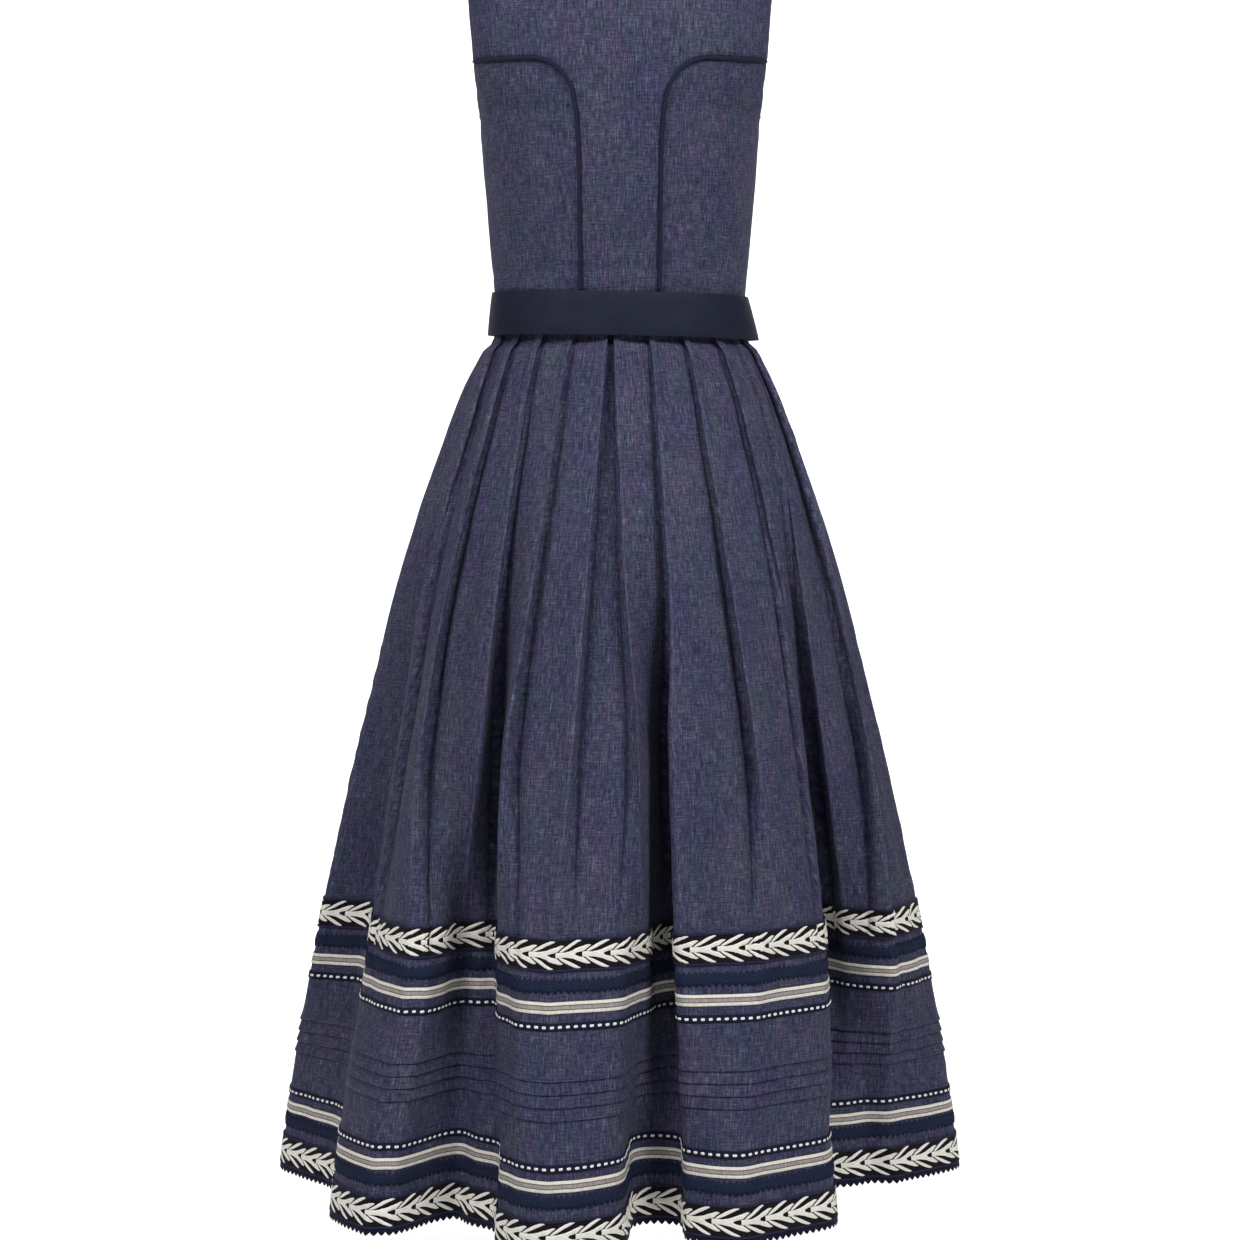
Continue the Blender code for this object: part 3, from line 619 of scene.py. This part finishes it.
# Each tuck is a fold of cloth stitched down along its top, whose free lower edge hangs over the row below.
tuck_drops, tuck_rises = [], []
for edge in TUCKS:
    tuck_drops += [edge + step for step in (-7, -4.5, -3, -1.2, -0.3, 0, -0.9, 0.3, 1.5)]
    tuck_rises += [0.3, 0.55, 0.8, 1.0, 1.0, 0.75, 0.1, -0.1, 0.05]
above = np.hstack([np.arange(0.2, 556, CELL), np.arange(560, 674, TRIM_CELL)])
below = np.hstack([np.arange(721, HEM, TRIM_CELL), [HEM]])
skirt_drops = np.hstack([above, tuck_drops, below])
skirt_rises = np.hstack([0 * above, np.array(tuck_rises) * TUCK_RISE, 0 * below])
skirt_points, skirt_out, skirt_runs, skirt_wear_and_painted_light = cloth(skirt_drops)
skirt_points += skirt_out * skirt_rises[:, None, None]
# The cloth between two folds keeps its threads upright, so each such stretch is measured from its middle.
stretch_of = np.cumsum(~(TURNED & np.roll(TURNED, 1)))[SPAN]
for name, cells in (("skirt_back", np.arange(HALF + 1)), ("skirt_front", np.arange(HALF, AROUND + 1))):
    points = skirt_points[:, cells % AROUND].copy()
    points[:, [0, -1], 1] = 0
    points[:, [0, -1], 0] *= 1 - 0.7 / np.abs(points[:, [0, -1], 0])
    rows, columns = points.shape[:2]
    faces = grid(rows, columns, turned=True)
    run = skirt_runs[:, cells]
    cell = cells[:-1] % AROUND
    middle = np.zeros(len(cell), int)
    for number in np.unique(stretch_of[cell]):
        here = np.flatnonzero(stretch_of[cell] == number)
        middle[here] = here[len(here) // 2]
    shift = run[-1, middle] - run[:, middle]
    left, right = run[:, :-1] + shift, run[:, 1:] + shift
    u = np.stack([left[1:], right[1:], right[:-1], left[:-1]], axis=-1)
    v = -skirt_drops[np.arange(rows - 1)[:, None, None] + [1, 1, 0, 0]]
    uv = np.stack(np.broadcast_arrays(u, v), axis=-1)
    panel = make_piece(name + "_linen", points, faces, [linen], uv, wall=SHEER)
    # The panel carries the painted light and shade, with a little rubbing, for the linen's colour.
    wear_and_painted_light_layer = panel.data.attributes.new("wear_and_painted_light", "FLOAT", "POINT")
    wear_and_painted_light_layer.data.foreach_set("value", skirt_wear_and_painted_light[:, cells % AROUND].ravel())
    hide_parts(name)

# Braids. Woven in one piece and sewn flat round the skirt before it was pleated, above and below the tucks.
# A vine of cream leaves stands up from a black-brown ground, between navy edges.
TRIM_GAP = 0.3  # between the skirt and a trim's wrong side
BRAIDS = (("upper", 564.5, 593.5), ("lower", 795.0, 824.0))  # drops of the top and bottom edge
BRAID_WALL = 1.5
BRAID_MIDDLE = 14.5
REPEAT = 26.0  # from one dark diamond in the vine to the next
# One repeat of the vine, as rows along the braid with the lower and upper edge of its upper half there: the
# spine, the inner blade that grows from it past the next diamond, and the outer blade beside it.
SPINE = (
    (3.0, -1.9, 1.9), (3.8, -2.5, 2.5), (7.0, -2.8, 2.8), (11.0, -2.4, 2.4), (15.0, -2.9, 2.9),
    (19.0, -3.9, 3.9), (21.5, -4.6, 4.6), (22.6, -4.9, 4.9),
)
INNER = (
    (20.5, 0.5, 3.9), (22.6, 0.25, 4.9), (24.5, 1.15, 5.7), (27.0, 1.85, 6.6), (29.5, 2.15, 7.4),
    (31.5, 3.4, 8.1), (34.0, 5.6, 8.6), (36.4, 7.4, 8.1),
)
OUTER = (
    (6.4, 2.2, 3.0), (8.5, 2.4, 4.7), (12.0, 3.6, 6.9), (16.0, 5.4, 9.2), (20.0, 7.4, 11.0),
    (24.0, 9.4, 12.2), (26.5, 10.7, 12.3), (27.8, 11.5, 11.9),
)


def band_cloth(top, bottom, rows=5):
    """The skirt's own surface between two drops, with its outward directions and the run round its middle."""
    points, outs, runs, _ = cloth(np.linspace(top, bottom, rows))
    across = np.roll(points, -1, axis=1) - np.roll(points, 1, axis=1)
    normals = np.cross(np.gradient(points, axis=0), across)
    normals *= np.sign((normals * outs).sum(axis=2, keepdims=True))
    normals /= np.linalg.norm(normals, axis=2, keepdims=True)
    closed = [np.concatenate([part, part[:, :1]], axis=1) for part in (points, normals)]
    return closed[0], closed[1], runs[rows // 2], bottom - top


def on_band(band, along, down, lift):
    """Points on a band: along it, down from its top edge, and lifted off the cloth."""
    points, normals, run, depth = band
    along, down, lift = np.broadcast_arrays(along, down, lift)
    column = np.interp(np.mod(along, run[-1]), run, np.arange(len(run)))
    row = np.clip(down / depth, -0.3, 1.4) * (len(points) - 1)
    c = np.minimum(column.astype(int), len(run) - 2)
    r = np.clip(np.floor(row).astype(int), 0, len(points) - 2)
    s, t = (column - c)[..., None], (row - r)[..., None]
    mixed = []
    for layer in (points, normals):
        upper = layer[r, c] * (1 - s) + layer[r, c + 1] * s
        lower = layer[r + 1, c] * (1 - s) + layer[r + 1, c + 1] * s
        mixed.append(upper * (1 - t) + lower * t)
    return mixed[0] + mixed[1] * lift[..., None]


def woven_band(node, kind, band, outer, step, downs, lifts, finishes, which=None, wall=0.8, edge=None):
    """A trim all round the skirt. downs and lifts give its section, with lifts counted from its outer face,
    and edge moves its two edges."""
    length = band[2][-1]
    count = round(length / step)
    along = np.arange(count) * length / count
    down = np.broadcast_to(np.array(downs)[:, None], (len(downs), count)).copy()
    if edge is not None:
        down[0] += edge(along, 0)
        down[-1] += edge(along, 1)
    points = on_band(band, along, down, np.array(lifts)[:, None] + outer)
    faces = grid(*down.shape, closed=True)
    row, column = faces // count, faces % count
    wrapped = np.where((column == 0) & (column.max(axis=1) == count - 1)[:, None], length, along[column])
    uv = np.stack([wrapped, -down[row, column]], axis=-1)
    uv = uv[:, ::-1].reshape(-1, 2)
    which = None if which is None else np.repeat(which, count)
    made = make_piece(f"{node}_{kind}", points, faces[:, ::-1], finishes, uv, which, wall)
    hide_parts(node)
    return made, length


def repeated(band, count, along, down, lift, turned=True):
    """Points and faces of one small form, set count times evenly along a band."""
    place = along + np.arange(count)[:, None, None] * band[2][-1] / count
    points = on_band(band, place, down, lift)
    faces = np.arange(count)[:, None, None] * along.size + grid(*along.shape, turned=turned)
    return points.reshape(-1, 3), faces.reshape(-1, 4)


def one_yarn(name, colour, roughness, sheen, grain, stops, relief=(0.4, 0.0004), gloss=0.1):
    """The finish of a cloth of one yarn: its grain as streaks takes it, its colours along that, and the
    strength and depth of its relief."""
    made, tree, shader = new_material(name, colour, roughness, sheen, gloss)
    strands = streaks(tree, *grain)
    show_threads(tree, shader, add(tree, "ValToRGB", {"Fac": strands}, stops), strands, *relief)
    return made


# The braid is a jacquard weave in black-brown and cream cotton, so its ground is matt with fine ribs across.
braid_ground = one_yarn(
    "jacquard_ground_cotton", "#1A171D", 0.85, 0.02, (1.0, 9.0, 1.0, 4.4),
    ((0.3, "#0D0C11"), (0.55, "#16141A"), (0.75, "#221F25")), (0.5, 0.0005),
)
selvedge = one_yarn(
    "navy_selvedge_cotton", "#2A2944", 0.85, 0.02, (1.0, 4.0, 1.0, 2.7), ((0.3, "#1F1E36"), (0.7, "#333150")),
)
# The vine's yarn floats over the ground, so its strands show and catch a little light.
cream_yarn = one_yarn(
    "cream_cotton_yarn", "#E9E1CE", 0.8, 0.1, (0.9, 7.0, 1.0, 2.2),
    ((0.3, "#D6D0C4"), (0.5, "#F5F1E8"), (0.7, "#FFFDF8")), (0.6, 0.0006),
)

for group, top, bottom in BRAIDS:
    band = band_cloth(top, bottom)
    outer = TRIM_GAP + BRAID_WALL
    braid, length = woven_band(
        f"braid_{group}", "ground", band, outer, 3.2,
        (0, 0.3, 1.3, 1.9, 7, BRAID_MIDDLE, 22, 27.1, 27.7, 28.7, 29),
        (-0.6, 0, 0.1, -0.15, -0.15, -0.15, -0.15, -0.15, 0.1, 0, -0.6), [braid_ground, selvedge],
        which=(1, 1, 1, 0, 0, 0, 0, 1, 1, 1), wall=1.2,
    )
    count = round(length / REPEAT)
    points, faces, uvs, total = [], [], [], 0
    for shape, mirrored in ((SPINE, 1), (INNER, 1), (INNER, -1), (OUTER, 1), (OUTER, -1)):
        rows = np.array(shape)
        out = mirrored * (rows[:, 1:2] + (rows[:, 2:] - rows[:, 1:2]) * np.array([0.0, 0.14, 0.5, 0.86, 1.0]))
        along = rows[:, :1] + 0 * out
        # The inner blades lie a little lower, so that they pass under the next spine.
        height = outer - 0.1 + np.array([-0.25, 0.32, 0.45, 0.32, -0.25]) - (0.06 if shape is INNER else 0)
        fitted = along * (length / count / REPEAT)
        copies, numbers = repeated(band, count, fitted, BRAID_MIDDLE - out, height, mirrored > 0)
        points.append(copies)
        faces.append(total + numbers)
        uvs.append(np.tile(np.stack([out * 3, along], axis=-1).reshape(-1, 2), (count, 1)))
        total += count * along.size
    faces = np.vstack(faces)
    uv = np.vstack(uvs)[faces.ravel()]
    make_piece(f"braid_{group}_vine", np.vstack(points), faces, [cream_yarn], uv)

# Velvet bands. Navy cotton velvet in narrow bands, sewn flat beside the braids. Their edges are toothed,
# where the pinked cloth beside them frays over the pile.
velvet = one_yarn(
    "cotton_velvet", "#1C2236", 0.95, 0.04, (1.6, 1.6, 3.0, 6.1), ((0.3, "#181D2E"), (0.6, "#272E45")),
    (0.6, 0.0008), gloss=0.05,
)
velvet.node_tree.nodes["Principled BSDF"].inputs["Sheen Tint"].default_value = linear("#565F7C")


def teeth(along, edge):
    """Uneven saw teeth that run in from a band's edge."""
    at = along / 5.7 + 0.35 * np.sin(along / 23.0 + edge)
    saw = np.abs(2 * (at - np.floor(at)) - 1)
    deep = 3.2 + 0.8 * np.sin(along / 11.3 + 2 * edge) + 0.6 * np.sin(along / 3.7)
    return (1 if edge == 0 else -1) * saw * deep


for group, top, bottom in (("upper", 599.5, 612.0), ("lower", 774.0, 786.5)):
    band = band_cloth(top, bottom, 3)
    made, length = woven_band(
        f"zigzag_{group}", "velvet", band, TRIM_GAP + 1.4, 1.2, (-0.7, 4.0, 6.25, 8.5, 13.2),
        (-0.7, -0.1, 0, -0.1, -0.7), [velvet], wall=1.0, edge=teeth,
    )

# Ribbons. Rayon, woven in one piece, cream at both edges and taupe in the middle, with a dark thread
# between. They are sewn flat on the linen next to the velvet.
taupe_yarn = one_yarn(
    "taupe_rayon_yarn", "#7A7268", 0.6, 0.05, (0.9, 4.0, 1.0, 8.2), ((0.3, "#877E7D"), (0.7, "#AFA7A4")), (),
)
dark_thread = one_yarn(
    "dark_rayon_thread", "#3B383A", 0.6, 0.02, (0.9, 4.0, 1.0, 4.1), ((0.3, "#2E2B2D"), (0.7, "#4A4648")),
    (0.3, 0.0004),
)
cream_rayon = one_yarn(
    "cream_rayon_yarn", "#E3DBC6", 0.55, 0.05, (0.9, 5.0, 1.0, 5.9), ((0.3, "#D3CEC0"), (0.7, "#F3F0E5")),
    (0.3, 0.0004),
)
for group, top, bottom in (("upper", 619.0, 629.0), ("lower", 762.0, 772.0)):
    band = band_cloth(top, bottom, 3)
    made, length = woven_band(
        f"ribbon_{group}", "woven", band, TRIM_GAP + 0.8, 3.4, (0, 0.25, 2.8, 3.5, 6.5, 7.2, 9.75, 10.0),
        (-0.35, 0, 0, -0.1, -0.1, 0, 0, -0.35), [cream_rayon, dark_thread, taupe_yarn],
        which=(0, 0, 1, 2, 1, 0, 0), wall=0.5,
    )

# Strips. Narrow navy cotton tape, held on the linen by one row of white running stitches in thick thread.
# They are the innermost trims, next to the tucks.
STITCH_STEP = 7.4
STITCH_PLACE = 3.3  # down from the strip's top edge
STITCH_SIZE = (1.95, 1.15, 0.75)  # half its length, half its width, and its height
navy_tape = one_yarn(
    "navy_cotton_tape", "#15162B", 0.8, 0.02, (1.0, 3.0, 1.0, 3.7), ((0.3, "#101122"), (0.7, "#1E2038")),
)
# Pearl cotton is mercerized and loosely twisted, so it shines a little and its plies slant.
white_thread, tree, shader = new_material("white_pearl_cotton", "#F4F4F6", 0.5, 0.02)
twist = {"Vector": add(tree, "UVMap", uv_map="thread"), "Scale": 190.0, "Distortion": 0.8, "Detail": 1.0}
twist = add(tree, "TexWave", twist, out="Fac", wave_type="BANDS", bands_direction="DIAGONAL")
colour = add(tree, "ValToRGB", {"Fac": twist}, ((0.1, "#DADBE0"), (0.6, "#FAFAFB")))
show_threads(tree, shader, colour, twist, 0.4, 0.0003)
for group, top, bottom in (("upper", 637.0, 643.0), ("lower", 749.0, 755.0)):
    band = band_cloth(top, bottom, 3)
    outer = TRIM_GAP + 0.8
    made, length = woven_band(
        f"strip_{group}", "tape", band, outer, 3.4, (-0.4, 0, 3.0, 6.0, 6.4), (-0.35, 0, 0, 0, -0.35),
        [navy_tape], wall=0.5,
    )
    count = round(length / STITCH_STEP)
    t = np.linspace(0, math.pi, 7)[:, None]
    side = np.linspace(-1, 1, 5)[None, :]
    long, wide, high = STITCH_SIZE
    along = -long * np.cos(t) + 0 * side
    out = side * (wide * np.maximum(np.sin(t), 0.02) ** 0.35)
    height = high * np.sqrt(np.maximum(0, 1 - (side * 0.98) ** 2)) * np.maximum(np.sin(t), 0) ** 0.5 - 0.12
    points, faces = repeated(band, count, along, STITCH_PLACE - out, height + outer)
    uv = np.tile(np.stack([along, out], axis=-1).reshape(-1, 2), (count, 1))[faces.ravel()]
    make_piece(f"strip_{group}_stitches", points, faces, [white_thread], uv)

# Picot edging. A navy cotton tape, sewn under the hem all round. It is woven with a row of small pointed
# loops, which hang below the hem.
PICOT_STEP = 7.0
PICOT_LONG = 3.2
PICOT_WIDE = 3.15  # half of a loop's width at its foot
band = band_cloth(822.5, 829.5, 3)
outer = TRIM_GAP + 0.8
tape, length = woven_band(
    "picot_edging", "tape", band, outer, 3.4, (1.7, 2.0, 3.0, 4.2, 4.5), (-0.4, 0, 0, 0, -0.4), [navy_tape],
    wall=0.6,
)
count = round(length / PICOT_STEP)
t = np.linspace(0, 1, 7)[:, None]
side = np.linspace(-1, 1, 7)[None, :]
wide = PICOT_WIDE * (1 - t**1.35) ** 0.8 + 0.12
ridge = 0.25 + 0.45 * np.exp(-(((np.abs(side) - 0.8) / 0.22) ** 2))
points, faces = repeated(band, count, side * wide, 4.2 + PICOT_LONG * t, ridge + outer - 0.6)
loops = make_piece("picot_edging_loops", points, faces, [navy_tape], wall=0.7)

# Belt. A plain navy band, stiffened and turned in at its edges, once round the waist over the seam. Its
# end laps over its start at the centre front, where it hooks on the inside.
BELT_SIZES = ((21.5, 121.9, 91.5), (-20.0, 126.2, 95.6))  # height, half width and half depth of its two edges
BELT_DEPTH = 41.5
BELT_WALL = 1.8
BELT_RADIUS = 112  # turns an angle round the belt into a length of cloth
BELT_LAP = 0.48  # angles of the lap, and of the rise on to the belt below it
BELT_RAMP = 0.35
BELT_TILT = 0.018  # it lies lower on the right
BELT_LOOSE = 6.5  # how far its lower edge stands off on the right
# Cotton sateen has long floats, which give it a faint smooth gloss with fine streaks along the belt.
belt_cloth, tree, shader = new_material("stiffened_cotton_sateen", "#1B1F2D", 0.62, 0.02, 0.2)
sateen = streaks(tree, 9.0, 1.0, 2.0, 9.3)
cloudy = streaks(tree, 30.0, 18.0, 1.0, 2.8)
tone = add(tree, "Math", {0: sateen, 1: 0.5}, operation="MULTIPLY")
tone = add(tree, "Math", {0: cloudy, 1: 0.5, 2: tone}, operation="MULTIPLY_ADD")
colour = add(tree, "ValToRGB", {"Fac": tone}, ((0.35, "#111628"), (0.65, "#181E34")))
show_threads(tree, shader, colour, sateen, 0.25, 0.0004)
turn = np.linspace(0, 2 * math.pi + BELT_LAP, 300)
at = math.pi / 2 - BELT_LAP / 2 + turn
ramp = np.clip((turn - 2 * math.pi + BELT_RAMP) / BELT_RAMP, 0, 1)
over = (BELT_WALL + 0.6) * ramp * ramp * (3 - 2 * ramp)
corner = np.linspace(0, math.pi / 2, 4)
half = [(1 - 0.7 * (1 - math.sin(a)) / BELT_DEPTH, BELT_WALL - 0.7 * (1 - math.cos(a))) for a in corner[::-1]]
section = half + [(0.75, BELT_WALL + 0.25), (0.5, BELT_WALL + 0.3), (0.25, BELT_WALL + 0.25)]
section += [(1 - share, deep) for share, deep in half[::-1]] + [(0.0, 0.1), (0.5, 0.05), (1.0, 0.1)]
share, deep = np.array(section).T
(high, wide_top, deep_top), (low, wide_low, deep_low) = BELT_SIZES
rows = []
for angle, lift in zip(at, over):
    half_width = wide_low + (wide_top - wide_low) * share
    half_depth = deep_low + (deep_top - deep_low) * share
    c, s = math.cos(angle), math.sin(angle)
    radius = np.abs(c / half_width) ** SQUARENESS + np.abs(s / half_depth) ** SQUARENESS
    radius = radius ** (-1 / SQUARENESS)
    slack = BELT_LOOSE * math.exp(-((math.remainder(angle, 2 * math.pi) / 0.3) ** 2)) * (1 - share)
    out = radius + lift + deep + slack
    rows.append(np.column_stack([out * c, out * s, WAIST + low + (high - low) * share - BELT_TILT * out * c]))
rows = np.array(rows)
rows[:, :, 2] += 0.25 * unevenness(turn[:, None] * 110, share * 41, 60, 31)
count, around = rows.shape[:2]
faces = grid(count, around, closed=True).tolist()
faces += [list(range(around)), [(count - 1) * around + i for i in range(around)][::-1]]
corners = np.hstack([np.array(face) for face in faces])
uv = np.stack([turn[corners // around] * BELT_RADIUS, share[corners % around] * BELT_DEPTH], axis=-1)
belt = make_piece("belt_band", rows, faces, [belt_cloth], uv)
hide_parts("belt")

# Lights and camera. A floor of pale paper runs up into a wall behind the dress, and big soft lights stand
# round it. The camera has the photograph's viewpoint.
FLOOR = -1.42  # the dress hangs 20 cm above it
paper = new_material("backdrop_paper", "#E4E4E4", 0.9)[0]
bend = [(3.4 + 1.6 * math.sin(a), 1.6 - 1.6 * math.cos(a)) for a in np.linspace(0.1, 1.57, 14)]
profile = [(-6.0, 0.0), (3.4, 0.0), *bend, (5.0, 5.0)]
sweep = [(x, y, FLOOR + z) for x in (-7.0, 7.0) for y, z in profile]
count = len(profile)
strips = [(i, i + 1, count + i + 1, count + i) for i in range(count - 1)]
backdrop = new_object("backdrop", sweep, strips, [paper])

world = bpy.data.worlds.new("studio")
world.use_nodes = True
background = world.node_tree.nodes["Background"]
background.inputs["Color"].default_value = linear("#FFFFFF")
background.inputs["Strength"].default_value = 0.08
scene.world = world
scene.view_settings.view_transform = "Standard"

# Square softboxes: where each stands, what it faces, its width and its power in watts.
for name, place, target, size, power in (
    ("key_right", (2.2, -2.5, 2.2), (0, 0, -0.25), 1.2, 97),
    ("key_left", (-2.2, -2.5, 2.2), (0, 0, -0.25), 1.2, 84),
    ("front", (0.0, -2.2, 2.0), (0, 0, -0.25), 1.0, 15),
    ("wall", (0, 3.1, 2.3), (0, 5.0, 0.0), 2.2, 158),
    ("floor", (0, 2.2, 1.4), (0, 2.2, -1.4), 1.8, 76),
    ("far_side", (0.6, 2.4, 1.9), (0, 0, -0.5), 1.4, 26),
):
    light = bpy.data.lights.new(name, "AREA")
    light.shape = "SQUARE"
    light.size = size
    light.energy = power
    softbox = bpy.data.objects.new(name, light)
    softbox.location = place
    x, y, z = np.array(target) - np.array(place)
    tilt = math.acos(-z / math.sqrt(x * x + y * y + z * z))
    softbox.rotation_euler = (tilt, 0, math.atan2(y, x) - math.pi / 2)
    scene.collection.objects.link(softbox)

# The camera stands behind the dress, level with the upper skirt, and looks a little down.
AWAY = 3.0
VIEW_WIDTH = 1.2028  # what the picture shows at the dress
VIEW_DROP = 0.194  # from the camera's height to the middle of the picture
camera = bpy.data.cameras.new("camera")
camera.lens = camera.sensor_width * AWAY / VIEW_WIDTH
viewpoint = bpy.data.objects.new("camera", camera)
viewpoint.location = (0, -AWAY, -0.484)
viewpoint.rotation_euler = (math.pi / 2 - math.atan2(VIEW_DROP, AWAY), 0, 0)
scene.collection.objects.link(viewpoint)
scene.camera = viewpoint
